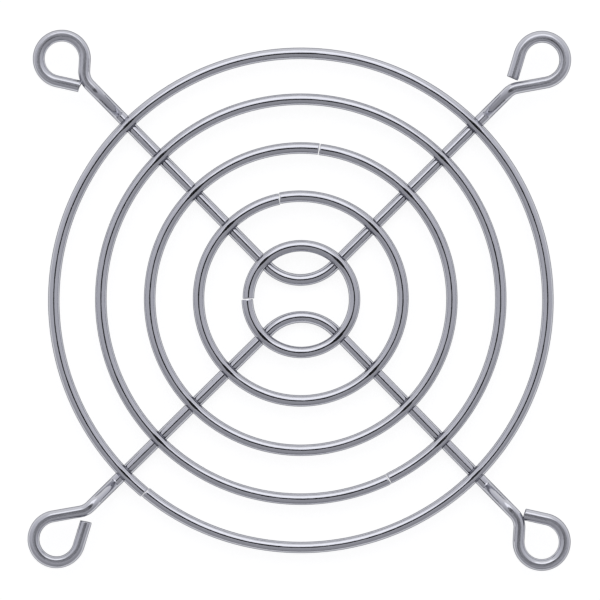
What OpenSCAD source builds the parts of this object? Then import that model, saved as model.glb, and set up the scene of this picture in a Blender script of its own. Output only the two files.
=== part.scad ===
/* [Mounting] */
// Distance between the centres of neighbouring screw eyes
hole_spacing = 71.5; // [71:0.5:90]
// Clear bore of each screw eye
eye_bore = 5.1; // [4.4:0.1:5.8]
// Height of the eyes above the arms of the ribs
eye_rise = 3.4; // [2.4:0.1:3.8]
// Distance from the line of each arm to the centre of its eye, on the side that the wire curls to
eye_side = 0.25; // [0:0.05:0.6]

/* [Wire] */
// Thickness of the wire of the rings
ring_wire = 1.7; // [1.2:0.05:2]
// Thickness of the wire of the ribs
rib_wire = 1.75; // [1.2:0.05:2]
// Thickness that the wire of the ribs loses where it is bent
bend_thinning = 0.02; // [0.01:0.01:0.1]
// Depth to which a weld presses a ring into a rib
weld_depth = 0.3; // [0.1:0.05:0.5]

/* [Rings] */
// Diameter of the centre ring, at the middle of its wire
centre_ring_d = 15.9; // [15:0.1:20]
// Step in radius from each ring to the next, as far as the outer ring
ring_step = 7.28; // [6:0.02:8.2]
// Diameter of the rim ring, at the middle of its wire
rim_ring_d = 73.6; // [65:0.1:75]
// Gap between the two sheared ends of a ring's wire
butt_gap = 0.12; // [0.05:0.01:0.5]

/* [Ring ends] */
// Direction from the centre to where the centre ring's ends meet
centre_ring_ends = 180; // [0:1:359]
// Direction from the centre to where the inner ring's ends meet
inner_ring_ends = 102; // [0:1:359]
// Direction from the centre to where the middle ring's ends meet
middle_ring_ends = 83; // [0:1:359]
// Direction from the centre to where the outer ring's ends meet
outer_ring_ends = 296; // [0:1:359]
// Direction from the centre to where the rim ring's ends meet
rim_ring_ends = 231; // [0:1:359]

/* [Ribs] */
// Radius of the bend at the apex of each rib, at the middle of its wire
apex_bend = 6.9; // [4:0.1:7.5]
// Slope of the step that lifts each eye above its arm
step_slope = 40; // [36:1:50]
// Radius of the bends at the foot and the top of the step
step_bend = 2; // [1.6:0.1:2.6]
// Radius of the bend that turns the wire aside before its eye
turn_bend = 2.8; // [2.2:0.1:3.4]
// Straight wire between the step and the turn at an open eye
level_run = 0.1; // [0.05:0.01:0.5]

/* [Closed eyes] */
// Angle by which the wire turns aside before it curls into a closed eye
closed_turn = 48; // [44:1:54]
// Angle through which the wire curls round a closed eye
closed_curl = 261; // [256:1:268]
// Gap between the end of the wire and the bend beside it at a closed eye
closed_gap = 0.06; // [0.04:0.01:0.3]

/* [Open eyes] */
// Angle by which the wire turns aside before it curls into an open eye
open_turn = 34.5; // [32:0.5:40]
// Angle through which the wire curls round an open eye
open_curl = 243; // [238:1:250]
// Gap between the end of the wire and the bend beside it at an open eye
open_gap = 0.35; // [0.2:0.05:1]

/* [Hidden] */
$fn = 96;
WIRE_COLOUR = [0.74, 0.75, 0.79];

// The ribs lie on Z = 0, and the rings are welded on top of them
rib_z = rib_wire / 2;
ring_z = rib_wire - weld_depth + ring_wire / 2;
eye_z = rib_z + eye_rise;

// The arms of a rib stand at a right angle. Their lines pass through the centre of the rings,
// turned a little from the diagonals of the square of screw holes.
ARM_HEADING = 45;
eye_diagonal = hole_spacing / sqrt(2);
arm_twist = asin(eye_side / eye_diagonal);
EYE_CENTRE = [sqrt(pow(eye_diagonal, 2) - pow(eye_side, 2)), eye_side];
eye_r = (eye_bore + rib_wire) / 2;
ARM_START = [apex_bend, 0, rib_z];
step_trim = step_bend * tan(step_slope / 2);

// Straight wire reaches this far into the thinner wire of each bend next to it
LAP = 0.02;
bent_wire_d = rib_wire - bend_thinning;

// A run of straight wire is [heading, climb, length, radius of the bend after it].
// It is laid out with its arm along +X, and the next run starts where the bend ends.
HEADING = 0;
CLIMB = 1;
LENGTH = 2;
BEND = 3;

function run_direction(run) =
    [cos(run[CLIMB]) * cos(run[HEADING]), cos(run[CLIMB]) * sin(run[HEADING]), sin(run[CLIMB])];

function bend_angle(before, after) = acos(run_direction(before) * run_direction(after));

// What a bend of this radius and angle takes off the straight wire on each side of its corner
function bend_trim(radius, angle) = radius * tan(angle / 2);

// From the end of one run to the start of the next
function bend_reach(before, after) =
    bend_trim(before[BEND], bend_angle(before, after)) * (run_direction(before) + run_direction(after));

function run_end(runs, start, i) = run_start(runs, start, i) + runs[i][LENGTH] * run_direction(runs[i]);

function run_start(runs, start, i) =
    i == 0 ? start : run_end(runs, start, i - 1) + bend_reach(runs[i - 1], runs[i]);

// Distance along the arm to the corner where the wire turns aside, and the length of the run
// from that corner to the curl of the eye, which it meets at a tangent
function turn_corner(turn) = EYE_CENTRE.x + EYE_CENTRE.y / tan(turn) - eye_r / sin(turn);

function lead_length(turn) = eye_r / tan(turn) - EYE_CENTRE.y / sin(turn);

// Distance along the arm to where the wire starts to turn aside
function turn_start(turn) = turn_corner(turn) - bend_trim(turn_bend, turn);

// All arms step up at the same distance from the centre, which leaves the level run at an open eye
STEP_TOP = turn_start(open_turn) - level_run - step_trim;
STEP_FOOT = STEP_TOP - eye_rise / tan(step_slope);

// Runs from the apex to the curl of an eye: the wire steps up, levels out, then turns aside
function arm_runs(turn) = [
    [0, 0, STEP_FOOT - step_trim - apex_bend, step_bend],
    [0, step_slope, eye_rise / sin(step_slope) - 2 * step_trim, step_bend],
    [0, 0, turn_start(turn) - STEP_TOP - step_trim, turn_bend],
    [-turn, 0, lead_length(turn) - bend_trim(turn_bend, turn), eye_r]
];

// Length of the straight end after the curl. Its inner corner stops at the named gap
// from the bend that turned the wire aside.
function tail_length(turn, curl, gap) =
    let (
        end_angle = curl - turn - 90,
        outward = [cos(end_angle), sin(end_angle)],
        forward = [-sin(end_angle), cos(end_angle)],
        corner = EYE_CENTRE + (eye_r - rib_wire / 2) * outward,
        bend_centre = [turn_corner(turn) - bend_trim(turn_bend, turn), -turn_bend],
        away = corner - bend_centre,
        along = away * forward
    )
    -along - sqrt(along * along - away * away + pow(turn_bend + rib_wire / 2 + gap, 2));

module straight_wire(length) {
    translate([0, 0, -LAP])
        cylinder(h = length + 2 * LAP, d = rib_wire);
}

module curved_wire(radius, angle) {
    rotate_extrude(angle = angle)
        translate([radius, 0])
            circle(d = bent_wire_d);
}

module wire_bend(start, before, after) {
    from = run_direction(before);
    to = run_direction(after);
    axis = cross(from, to) / norm(cross(from, to));
    inward = cross(axis, from);
    centre = start + before[BEND] * inward;
    multmatrix([
        [-inward.x, from.x, axis.x, centre.x],
        [-inward.y, from.y, axis.y, centre.y],
        [-inward.z, from.z, axis.z, centre.z]
    ])
        curved_wire(before[BEND], bend_angle(before, after));
}

// Each run of straight wire, and the bend between it and the next
module bent_wire(runs) {
    for (i = [0:len(runs) - 1]) {
        translate(run_start(runs, ARM_START, i))
            rotate([0, 90 - runs[i][CLIMB], runs[i][HEADING]])
                straight_wire(runs[i][LENGTH]);
        if (i < len(runs) - 1) {
            wire_bend(run_end(runs, ARM_START, i), runs[i], runs[i + 1]);
        }
    }
}

module eye(turn, curl, gap) {
    translate([EYE_CENTRE.x, EYE_CENTRE.y, eye_z]) {
        rotate([0, 0, -turn - 90])
            curved_wire(eye_r, curl);
        rotate([0, 0, curl - turn - 90])
            translate([eye_r, 0, 0])
                rotate([-90, 0, 0])
                    translate([0, 0, -LAP])
                        cylinder(h = LAP + tail_length(turn, curl, gap), d = rib_wire);
    }
}

module arm(turn, curl, gap) {
    bent_wire(arm_runs(turn));
    eye(turn, curl, gap);
}

// The bend in the middle of a rib, which points down at the centre of the rings
module apex() {
    translate([0, apex_bend / cos(ARM_HEADING), rib_z])
        rotate([0, 0, -90 - ARM_HEADING])
            curved_wire(apex_bend, 2 * ARM_HEADING);
}

// One wire from the closed eye at its left end to the open eye at its right end
module rib() {
    rotate([0, 0, -arm_twist]) {
        apex();
        rotate([0, 0, 180 - ARM_HEADING])
            arm(closed_turn, closed_curl, closed_gap);
        rotate([0, 0, ARM_HEADING])
            arm(open_turn, open_curl, open_gap);
    }
}

// The wire that the rings are pressed into: the apex and the arms of both ribs
module rib_spans() {
    for (half = [0, 180]) {
        rotate([0, 0, half - arm_twist]) {
            apex();
            for (heading = [ARM_HEADING, 180 - ARM_HEADING]) {
                rotate([0, 0, heading])
                    bent_wire([arm_runs(open_turn)[0]]);
            }
        }
    }
}

// A round ring with its ends butted, and a saddle where each arm is welded to it
module ring(radius, ends) {
    gap_angle = 2 * asin(butt_gap / (2 * radius));
    color(WIRE_COLOUR)
        difference() {
            translate([0, 0, ring_z])
                rotate([0, 0, ends + gap_angle / 2])
                    rotate_extrude(angle = 360 - gap_angle)
                        translate([radius, 0])
                            circle(d = ring_wire);
            rib_spans();
        }
}

module centre_ring() {
    ring(centre_ring_d / 2, centre_ring_ends);
}

module inner_ring() {
    ring(centre_ring_d / 2 + ring_step, inner_ring_ends);
}

module middle_ring() {
    ring(centre_ring_d / 2 + 2 * ring_step, middle_ring_ends);
}

module outer_ring() {
    ring(centre_ring_d / 2 + 3 * ring_step, outer_ring_ends);
}

module rim_ring() {
    ring(rim_ring_d / 2, rim_ring_ends);
}

module upper_rib() {
    color(WIRE_COLOUR)
        rib();
}

module lower_rib() {
    color(WIRE_COLOUR)
        rotate([0, 0, 180])
            rib();
}

centre_ring();
inner_ring();
middle_ring();
outer_ring();
rim_ring();
upper_rib();
lower_rib();
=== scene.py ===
import math
from typing import NamedTuple

import bpy
import numpy as np
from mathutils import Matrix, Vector


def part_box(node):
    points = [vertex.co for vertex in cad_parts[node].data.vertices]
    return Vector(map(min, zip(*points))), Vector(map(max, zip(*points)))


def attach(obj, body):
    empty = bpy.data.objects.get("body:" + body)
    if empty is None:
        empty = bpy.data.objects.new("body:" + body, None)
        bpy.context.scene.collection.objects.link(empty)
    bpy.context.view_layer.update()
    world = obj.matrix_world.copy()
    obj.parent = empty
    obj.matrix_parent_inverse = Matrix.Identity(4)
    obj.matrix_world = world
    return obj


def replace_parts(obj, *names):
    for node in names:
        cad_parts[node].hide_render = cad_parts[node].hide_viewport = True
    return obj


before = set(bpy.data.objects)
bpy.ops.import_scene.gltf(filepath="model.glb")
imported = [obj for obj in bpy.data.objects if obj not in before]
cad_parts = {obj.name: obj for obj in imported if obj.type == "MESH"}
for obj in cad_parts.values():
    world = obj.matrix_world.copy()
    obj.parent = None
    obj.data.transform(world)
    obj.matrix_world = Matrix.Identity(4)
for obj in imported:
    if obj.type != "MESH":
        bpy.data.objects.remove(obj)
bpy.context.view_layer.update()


# ---------------------------------------------------------------- sizes, in millimetres
MM = 0.001
RING_WIRE = 1.70
RIB_WIRE = 1.75
WELD_DEPTH = 0.30
BUTT_GAP = 0.12
RIB_Z = RIB_WIRE / 2
RING_Z = RIB_WIRE - WELD_DEPTH + RING_WIRE / 2
CONTACT_Z = RIB_WIRE - WELD_DEPTH / 2

HOLE_SPACING = 71.5
EYE_BORE = 5.1
EYE_RISE = 3.4
EYE_SIDE = 0.25
APEX_BEND = 6.9
STEP_SLOPE = 40
FOOT_BEND = 1.4
TOP_BEND = 2.8
TURN_BEND = 2.8

EYE_R = (EYE_BORE + RIB_WIRE) / 2
# The arms stand off the diagonals by this angle, as each eye lies to one side of its arm
ARM_TWIST = math.degrees(math.asin(EYE_SIDE / (HOLE_SPACING / math.sqrt(2))))

# What the shop leaves on the wire, in the order of the lines below: ends rolled over when cut,
# a section that isn't quite round, curls that are taller inside than outside, electrode flats,
# flats from the punch of the step, ring ends that spring apart, and collars of weld metal
END_ROLL, END_REACH = 0.06, 0.2
OVALITY, OVAL_PITCH = 0.008, 7
KEYSTONE, KEYSTONE_RUN_IN = 0.13, 25
FLAT_DEPTH, FLAT_REACH, FLAT_CROWN = 0.04, 1.1, 0.2
COIN_DEPTH, COIN_CROWN = 0.05, 0.1
SPRING_REACH = 5
COLLAR_REACH, COLLAR_HEIGHT = 0.78, 0.26

SIDES = 56
UP = np.array([0.0, 0.0, 1.0])

# Each ring: where its ends meet, where its centre sits in X and Y, how far the end past the gap
# has sprung outward from the other, and the slopes that the two ends are sheared at
RINGS = {
    "centre_ring": (180, (0.06, 0.02), 0.16, (-4, -4)),
    "inner_ring": (102, (0.0, 0.08), -0.10, (10, 10)),
    "middle_ring": (83, (0.0, 0.0), 0.05, (4, 4)),
    "outer_ring": (296, (0.0, 0.0), -0.05, (-10, -10)),
    "rim_ring": (231, (0.0, -0.18), -0.12, (11, 11)),
}


class Arm(NamedTuple):
    """How one arm of a rib and its eye came out of the bending machine, in degrees and millimetres."""
    turn: float     # angle by which the wire turns aside before its eye
    curl: float     # angle through which it curls round the eye
    tail: float     # length of the straight tail
    cut: float      # slope that the tail is sheared at
    sway: float     # angle by which the arm stands off its line
    foot: float     # distance from the centre to the foot of the step
    off: tuple      # how far the eye stands off its place, in X and Y


# Each rib: its half turn, how far its apex stands off its place, and its two arms
RIBS = {
    "upper_rib": (
        0, (-0.11, 0.02),
        Arm(48, 261, 3.45, 18, -0.25, 38.8, (0.30, -0.08)),
        Arm(34.5, 243, 3.85, 8, 0.1, 39.2, (0.05, -0.24)),
    ),
    "lower_rib": (
        180, (0.21, 0.21),
        Arm(48, 261, 3.40, 4, -0.3, 39.4, (-0.02, -0.25)),
        Arm(34.5, 243, 3.75, -6, -0.2, 39.1, (-0.48, 0.15)),
    ),
}


# ---------------------------------------------------------------- wires
def unit(v):
    return np.asarray(v, float) / np.linalg.norm(v)


def turned(v, axis, degrees):
    """v turned about a unit axis, by the right-hand rule."""
    a = math.radians(degrees)
    return v * math.cos(a) + np.cross(axis, v) * math.sin(a) + axis * (axis @ v) * (1 - math.cos(a))


def heading(degrees):
    a = math.radians(degrees)
    return np.array([math.cos(a), math.sin(a), 0.0])


class Wire:
    """A wire laid out as a bending machine makes it, with straight feeds and round bends.
    Each station holds a point, the way the wire runs there, and how far it is curled, 0 to 1."""

    def __init__(self, start, way):
        self.stations = [(np.asarray(start, float), unit(way), 0.0)]

    def feed(self, length, spacing=0.4):
        start, way, _ = self.stations[-1]
        count = max(1, math.ceil(length / spacing))
        self.stations += [(start + way * length * i / count, way, 0.0) for i in range(1, count + 1)]
        return self

    def bend(self, radius, degrees, spacing=0.2, curled=False):
        """A level bend, to the left where degrees is positive."""
        start, way, _ = self.stations[-1]
        axis = UP * math.copysign(1, degrees)
        inward = np.cross(axis, way)
        centre, total = start + inward * radius, abs(degrees)
        count = max(2, math.ceil(math.radians(total) * radius / spacing))
        for i in range(1, count + 1):
            angle = total * i / count
            run_in = min(angle, total - angle) / KEYSTONE_RUN_IN
            curl = min(1.0, run_in) if curled else 0.0
            spot = centre - turned(inward, axis, angle) * radius
            self.stations.append((spot, turned(way, axis, angle), curl))
        return self


def joined(first, second):
    """The stations of two wires that start at one point and run apart, as one wire."""
    back = [(point, -way, curl) for point, way, curl in reversed(first.stations[1:])]
    return back + second.stations


def sections(stations, wire):
    """The tube round the stations, as an array of sections of points, and the distance along it."""
    points = np.array([s[0] for s in stations])
    ways = np.array([s[1] for s in stations])
    steps = np.linalg.norm(np.diff(points, axis=0), axis=1)
    distance = np.concatenate([[0], np.cumsum(steps)])
    side = unit(np.cross(UP, ways[0]))
    around = np.linspace(0, 2 * math.pi, SIDES, endpoint=False)
    tube = np.zeros((len(points), SIDES, 3))
    for i, way in enumerate(ways):
        side = unit(side - (side @ way) * way)
        rise = np.cross(way, side)
        tube[i] = np.outer(np.cos(around), side) + np.outer(np.sin(around), rise)
    near_end = np.minimum(distance, distance[-1] - distance)
    rolled = 1 - END_ROLL * np.clip(1 - near_end / END_REACH, 0, 1) ** 2
    oval = 1 + OVALITY * np.cos(2 * around[None, :] + distance[:, None] / OVAL_PITCH)
    radii = wire / 2 * rolled[:, None] * oval
    return points, tube * radii[:, :, None], distance


def fine_ends(stations, reach=0.25, spacing=0.05):
    """The stations with more of them close to both ends, where the edges are rolled over."""
    out = []
    for (point, way, curl), (after, way_after, _) in zip(stations, stations[1:]):
        out.append((point, way, curl))
        near = min(np.linalg.norm(point - stations[0][0]), np.linalg.norm(after - stations[-1][0]))
        if near < reach:
            count = max(1, round(np.linalg.norm(after - point) / spacing))
            for share in (k / count for k in range(1, count)):
                out.append((point + (after - point) * share, unit(way + (way_after - way) * share), curl))
    return out + [stations[-1]]


def keystone(offsets, stations, wire):
    """A tight curl leaves the wire taller on its inner side and lower on its outer side."""
    for i, (_, way, curl) in enumerate(stations):
        if curl:
            outward = np.cross(way, UP)
            lean = offsets[i] @ outward / (wire / 2)
            offsets[i][:, 2] *= 1 - KEYSTONE * curl * lean


def shear(offsets, stations, slopes):
    """Slants the two end faces, by sliding the points of the last sections along the wire."""
    for i, slope in ((0, slopes[0]), (len(stations) - 1, slopes[1])):
        way = stations[i][1]
        across = unit(np.cross(UP, way))
        offsets[i] += np.outer(offsets[i] @ across * math.tan(math.radians(slope)), way)


def press(points, offsets, spots, side, wire):
    """Flats that the electrodes leave opposite each weld. side is +1 on top and -1 below."""
    for spot in spots:
        away = np.linalg.norm((points - spot)[:, :2], axis=1)
        for i in np.nonzero(away < 3 * FLAT_REACH)[0]:
            limit = wire / 2 - FLAT_DEPTH * math.exp(-(away[i] / FLAT_REACH) ** 4)
            height = offsets[i][:, 2] * side
            over = height > limit
            offsets[i][over, 2] = side * (limit + FLAT_CROWN * (height[over] - limit))


def coin(points, offsets):
    """The flat that the punch leaves on top of each eye, fading in over the last eighth of the step.
    Gives back where it lies, from 0 to 1."""
    worn = np.zeros(offsets.shape[:2])
    for i, point in enumerate(points):
        depth = COIN_DEPTH * min(1, max(0, (point[2] - RIB_Z) / EYE_RISE * 8 - 7))
        if depth > 0:
            limit = RIB_WIRE / 2 - depth
            over = offsets[i][:, 2] > limit
            offsets[i][over, 2] = limit + COIN_CROWN * (offsets[i][over, 2] - limit)
            worn[i][over] = 1
    return worn


def piece(name, points, offsets, distance, worn=None):
    """A mesh piece from a tube, with a flat face at either end, and blunter where it is worn."""
    grid = (points[:, None, :] + offsets) * MM
    rows, sides = grid.shape[:2]
    verts = [tuple(v) for row in grid for v in row]
    faces, along = [], []
    for i in range(rows - 1):
        for j in range(sides):
            k = (j + 1) % sides
            faces.append((i * sides + j, i * sides + k, (i + 1) * sides + k, (i + 1) * sides + j))
            low, high, left, right = distance[i], distance[i + 1], j / sides, (j + 1) / sides
            along += [(low, left), (low, right), (high, right), (high, left)]
    for i, order in ((0, -1), (rows - 1, 1)):
        first = len(verts)
        verts += [tuple(v) for v in grid[i]]
        faces.append(tuple(range(first, first + sides))[::order])
        along += [(0.0, 0.0)] * sides
    mesh = bpy.data.meshes.new(name)
    mesh.from_pydata(verts, [], faces)
    mesh.uv_layers.new(name="Along").data.foreach_set("uv", [c for pair in along for c in pair])
    mesh.polygons.foreach_set("use_smooth", [len(f) == 4 for f in faces])
    if worn is not None:
        values = np.concatenate([worn.ravel(), worn[0], worn[-1]])
        mesh.attributes.new("worn", "FLOAT", "POINT").data.foreach_set("value", values)
    mesh.materials.append(PLATED)
    mesh.materials.append(SHEARED)
    mesh.polygons.foreach_set("material_index", [0 if len(f) == 4 else 1 for f in faces])
    mesh.update()
    obj = bpy.data.objects.new(name, mesh)
    bpy.context.scene.collection.objects.link(obj)
    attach(obj, "root")
    return obj


# ---------------------------------------------------------------- finishes
PLATED_ROUGHNESS, SHEARED_ROUGHNESS, WORN_EXTRA = 0.10, 0.32, 0.12


def metal(name, roughness, scratches):
    """Bright plating. The fine lines that drawing leaves run along the wire."""
    mat = bpy.data.materials.new(name)
    mat.use_nodes = True
    nodes, links = mat.node_tree.nodes, mat.node_tree.links
    shader = nodes["Principled BSDF"]
    shader.inputs["Base Color"].default_value = (0.55, 0.555, 0.60, 1)
    shader.inputs["Metallic"].default_value = 1
    # Specular Tint near black is painted shade: it darkens the wire's edges as if they reflected the
    # shaded floor beside the wire
    shader.inputs["Specular Tint"].default_value = (0.02, 0.02, 0.03, 1)
    coords = nodes.new("ShaderNodeTexCoord")
    stretch = nodes.new("ShaderNodeMapping")
    stretch.inputs["Scale"].default_value = (0.35, 14, 1)
    links.new(coords.outputs["UV"], stretch.inputs["Vector"])
    lines = nodes.new("ShaderNodeTexNoise")
    lines.inputs["Scale"].default_value = 1
    lines.inputs["Detail"].default_value = 6
    links.new(stretch.outputs["Vector"], lines.inputs["Vector"])
    rough = nodes.new("ShaderNodeMapRange")
    rough.inputs["From Min"].default_value = 0.3
    rough.inputs["From Max"].default_value = 0.7
    rough.inputs["To Min"].default_value = roughness * 0.8
    rough.inputs["To Max"].default_value = roughness * 1.3
    links.new(lines.outputs["Fac"], rough.inputs["Value"])
    worn = nodes.new("ShaderNodeAttribute")
    worn.attribute_name = "worn"
    blunt = nodes.new("ShaderNodeMath")
    blunt.operation = "MULTIPLY_ADD"
    blunt.inputs[1].default_value = WORN_EXTRA
    links.new(worn.outputs["Fac"], blunt.inputs[0])
    links.new(rough.outputs["Result"], blunt.inputs[2])
    links.new(blunt.outputs[0], shader.inputs["Roughness"])
    bump = nodes.new("ShaderNodeBump")
    bump.inputs["Strength"].default_value = scratches
    bump.inputs["Distance"].default_value = 0.00002
    links.new(lines.outputs["Fac"], bump.inputs["Height"])
    links.new(bump.outputs["Normal"], shader.inputs["Normal"])
    return mat


PLATED = metal("plated_wire", PLATED_ROUGHNESS, 0.5)
SHEARED = metal("sheared_end", SHEARED_ROUGHNESS, 1.0)


# ---------------------------------------------------------------- rings
def ring_radius(name):
    low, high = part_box(name)
    return ((high.y - low.y) + (high.x - low.x)) / 4 / MM - RING_WIRE / 2


def crossings(radius, centre=(0, 0)):
    """Where a ring meets the four arms. A ring off centre slides about half as far along each."""
    off = np.array([centre[0], centre[1], 0]) * 0.5
    return [heading(diagonal - ARM_TWIST) * radius + off for diagonal in (45, 135, 225, 315)]


def ring(name):
    ends, centre, spring, slopes = RINGS[name]
    radius = ring_radius(name)
    gap = math.degrees(BUTT_GAP / radius)
    length = math.radians(360 - gap) * radius
    count = math.ceil(length / 0.4)
    stations = []
    for i in range(count + 1):
        angle = ends + gap / 2 + (360 - gap) * i / count
        from_start, from_end = length * i / count, length * (1 - i / count)
        out = spring / 2 * (math.exp(-from_start / SPRING_REACH) - math.exp(-from_end / SPRING_REACH))
        spot = heading(angle) * (radius + out) + np.array([centre[0], centre[1], RING_Z])
        stations.append((spot, heading(angle + 90), 0.0))
    stations = fine_ends(stations)
    points, offsets, distance = sections(stations, RING_WIRE)
    press(points, offsets, crossings(radius, centre), 1, RING_WIRE)
    shear(offsets, stations, slopes)
    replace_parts(piece(name + "_wire", points, offsets, distance), name)


# ---------------------------------------------------------------- ribs
def ramp(past, radius):
    """Height and slope of the step at this distance past one of its corners, bent to this radius."""
    slope = math.radians(STEP_SLOPE)
    run = past + radius * math.tan(slope / 2)
    if run <= 0:
        return 0.0, 0.0
    if run < radius * math.sin(slope):
        angle = math.asin(run / radius)
        return radius * (1 - math.cos(angle)), math.tan(angle)
    return past * math.tan(slope), math.tan(slope)


def rise(past):
    """Height and slope of the step at this distance past its foot."""
    length = EYE_RISE / math.tan(math.radians(STEP_SLOPE))
    if past < length / 2:
        return ramp(past, FOOT_BEND)
    height, steep = ramp(length - past, TOP_BEND)
    return EYE_RISE - height, steep


def arm(wire, side, spec):
    """Goes on from the apex: along the arm, aside, and round the eye. The step is pressed in last.
    side holds the signs of the eye's X and Y."""
    start, ahead, _ = wire.stations[-1]
    aside = np.cross(UP, ahead)
    eye = np.array([s * HOLE_SPACING / 2 + off for s, off in zip(side, spec.off)] + [0])
    along, beside = (eye - start) @ ahead, (eye - start) @ aside
    turn = math.radians(spec.turn)
    trim = TURN_BEND * math.tan(turn / 2)
    corner = along + beside / math.tan(turn) - EYE_R / math.sin(turn)
    before_step = spec.foot - 1 - start @ ahead
    wire.feed(before_step)
    wire.feed(corner - trim - before_step, 0.08)
    wire.bend(TURN_BEND, -spec.turn, spacing=0.1)
    wire.feed(EYE_R / math.tan(turn) - beside / math.sin(turn) - trim, 0.2)
    wire.bend(EYE_R, spec.curl, curled=True)
    wire.feed(spec.tail, 0.2)
    for i, (point, way, curled) in enumerate(wire.stations):
        height, steep = rise(point @ ahead - spec.foot)
        wire.stations[i] = (point + UP * height, unit(way + UP * steep * (way @ ahead)), curled)


def rib(name):
    half_turn, off, left_arm, right_arm = RIBS[name]
    home = half_turn - ARM_TWIST
    apex = heading(home + 90) * APEX_BEND * (math.sqrt(2) - 1) + np.array([off[0], off[1], RIB_Z])
    upward = 1 if half_turn == 0 else -1
    left = Wire(apex, heading(home + 180)).bend(APEX_BEND, -45 + left_arm.sway)
    arm(left, (-upward, upward), left_arm)
    right = Wire(apex, heading(home)).bend(APEX_BEND, 45 + right_arm.sway)
    arm(right, (upward, upward), right_arm)
    stations = fine_ends(joined(left, right))
    points, offsets, distance = sections(stations, RIB_WIRE)
    keystone(offsets, stations, RIB_WIRE)
    spots = [s for ring_name in RINGS for s in crossings(ring_radius(ring_name))]
    press(points, offsets, spots, -1, RIB_WIRE)
    worn = coin(points, offsets)
    shear(offsets, stations, (left_arm.cut, right_arm.cut))
    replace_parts(piece(name + "_wire", points, offsets, distance, worn), name)


# ---------------------------------------------------------------- welds
def weld(spots):
    """The little collars of metal squeezed out where the wires fuse."""
    rings, sides = 9, 24
    verts, faces = [], []
    for number, spot in enumerate(spots):
        base = len(verts)
        turn = math.atan2(spot[1], spot[0])
        for i in range(rings + 1):
            lat = math.pi * (i / rings - 0.5)
            for j in range(sides):
                lon = 2 * math.pi * j / sides
                square = 1 / max(abs(math.cos(lon)), abs(math.sin(lon))) ** 0.35
                reach = COLLAR_REACH * square * (1 + 0.05 * math.sin(3 * lon + 2.1 * number))
                flat = math.copysign(abs(math.sin(lat)) ** 0.9, math.sin(lat)) * COLLAR_HEIGHT
                x, y = reach * math.cos(lat) * math.cos(lon), reach * math.cos(lat) * math.sin(lon)
                verts.append((
                    (spot[0] + x * math.cos(turn) - y * math.sin(turn)) * MM,
                    (spot[1] + x * math.sin(turn) + y * math.cos(turn)) * MM,
                    (CONTACT_Z + flat) * MM,
                ))
        for i in range(rings):
            for j in range(sides):
                k = (j + 1) % sides
                faces.append((base + i * sides + j, base + i * sides + k,
                              base + (i + 1) * sides + k, base + (i + 1) * sides + j))
    mesh = bpy.data.meshes.new("welds")
    mesh.from_pydata(verts, [], faces)
    mesh.polygons.foreach_set("use_smooth", [True] * len(faces))
    mesh.materials.append(SHEARED)
    obj = bpy.data.objects.new("welds", mesh)
    bpy.context.scene.collection.objects.link(obj)
    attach(obj, "root")


for ring_name in RINGS:
    ring(ring_name)
for rib_name in RIBS:
    rib(rib_name)
weld([s for ring_name in RINGS for s in crossings(ring_radius(ring_name), RINGS[ring_name][1])])


# ---------------------------------------------------------------- studio
scene = bpy.context.scene
scene.view_settings.view_transform = "Standard"

world = bpy.data.worlds.new("studio")
world.use_nodes = True
scene.world = world
# A soft grey room, a little lighter towards +Y, where its window is, and darker towards -Y
room = world.node_tree
direction = room.nodes.new("ShaderNodeTexCoord")
split = room.nodes.new("ShaderNodeSeparateXYZ")
depth = room.nodes.new("ShaderNodeMapRange")
depth.inputs["From Min"].default_value = -1
shade = room.nodes.new("ShaderNodeValToRGB")
ROOM = [(0.0, 0.10), (0.02, 0.40), (0.3, 0.46), (0.45, 0.62), (0.55, 0.66), (0.75, 0.80)]
ROOM_BLUE = 1.055
# A new ramp has a black stop at 0, which goes, and a white stop at 1, which stays
stops = shade.color_ramp.elements
stops.remove(stops[0])
for spot, level in ROOM:
    stops.new(spot).color = (level, level, level * ROOM_BLUE, 1)
room.links.new(direction.outputs["Generated"], split.inputs[0])
room.links.new(split.outputs["Y"], depth.inputs["Value"])
room.links.new(depth.outputs["Result"], shade.inputs["Fac"])
room.links.new(shade.outputs["Color"], room.nodes["Background"].inputs["Color"])


FLOOR_GREY, FLOOR_GLOW = 0.30, 0.83


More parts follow.
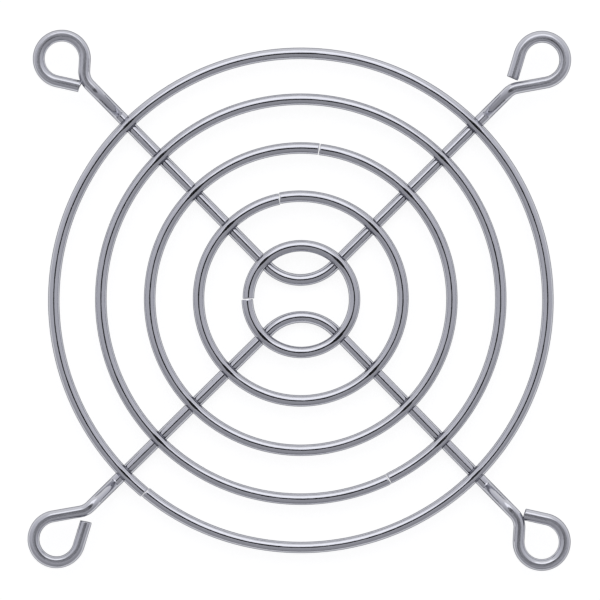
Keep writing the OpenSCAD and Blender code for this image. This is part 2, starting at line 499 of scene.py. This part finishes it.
def floor_material():
    """A pale matt floor that stays white to the eye, and keeps a faint shadow."""
    mat = bpy.data.materials.new("floor")
    mat.use_nodes = True
    nodes, links = mat.node_tree.nodes, mat.node_tree.links
    nodes.clear()
    out = nodes.new("ShaderNodeOutputMaterial")
    matt = nodes.new("ShaderNodeBsdfDiffuse")
    matt.inputs["Color"].default_value = (FLOOR_GREY, FLOOR_GREY, FLOOR_GREY, 1)
    glow = nodes.new("ShaderNodeEmission")
    path = nodes.new("ShaderNodeLightPath")
    seen = nodes.new("ShaderNodeMath")
    seen.operation = "MAXIMUM"
    seen_too = nodes.new("ShaderNodeMath")
    seen_too.operation = "MAXIMUM"
    level = nodes.new("ShaderNodeMath")
    level.operation = "MULTIPLY"
    level.inputs[1].default_value = FLOOR_GLOW
    both = nodes.new("ShaderNodeAddShader")
    links.new(path.outputs["Is Camera Ray"], seen.inputs[0])
    links.new(path.outputs["Is Glossy Ray"], seen.inputs[1])
    links.new(seen.outputs[0], seen_too.inputs[0])
    links.new(path.outputs["Is Transmission Ray"], seen_too.inputs[1])
    links.new(seen_too.outputs[0], level.inputs[0])
    links.new(level.outputs[0], glow.inputs["Strength"])
    links.new(matt.outputs[0], both.inputs[0])
    links.new(glow.outputs[0], both.inputs[1])
    links.new(both.outputs[0], out.inputs["Surface"])
    return mat


def floor(size):
    mesh = bpy.data.meshes.new("floor")
    h = size / 2
    mesh.from_pydata([(-h, -h, 0), (h, -h, 0), (h, h, 0), (-h, h, 0)], [], [(0, 1, 2, 3)])
    mesh.materials.append(floor_material())
    obj = bpy.data.objects.new("floor", mesh)
    scene.collection.objects.link(obj)


def softbox(name, size, size_y, distance, azimuth, tilt, power):
    """A rectangular lamp that looks at the object from this azimuth, tilted from overhead."""
    data = bpy.data.lights.new(name, "AREA")
    data.shape = "RECTANGLE"
    data.size, data.size_y = size, size_y
    data.energy = power
    lamp = bpy.data.objects.new(name, data)
    a, t = math.radians(azimuth), math.radians(tilt)
    way = Vector((math.sin(t) * math.cos(a), math.sin(t) * math.sin(a), math.cos(t)))
    lamp.location = way * distance
    lamp.rotation_mode = "QUATERNION"
    lamp.rotation_quaternion = way.to_track_quat("Z", "Y")
    scene.collection.objects.link(lamp)


floor(6.0)
softbox("key", size=0.66, size_y=0.62, distance=0.8, azimuth=90, tilt=36, power=0.85)

CAMERA_HEIGHT = 0.5

# The camera's own dark bulk, just behind its lens, which bright wire shows as a thin dark line
dark = bpy.data.materials.new("camera_bulk")
dark.use_nodes = True
dark_shader = dark.node_tree.nodes["Principled BSDF"]
dark_shader.inputs["Base Color"].default_value = (0.01, 0.01, 0.012, 1)
dark_shader.inputs["Roughness"].default_value = 0.9
bpy.ops.mesh.primitive_circle_add(
    vertices=64, radius=0.115, fill_type="NGON", location=(0, 0, CAMERA_HEIGHT + 0.02))
hood = bpy.context.object
hood.name = "camera_bulk"
hood.data.materials.append(dark)

camera = bpy.data.objects.new("camera", bpy.data.cameras.new("camera"))
camera.data.lens = 200.5
camera.data.sensor_width = 36
camera.data.clip_end = 10
camera.location = (-0.00012, -0.00012, CAMERA_HEIGHT)
scene.collection.objects.link(camera)
scene.camera = camera
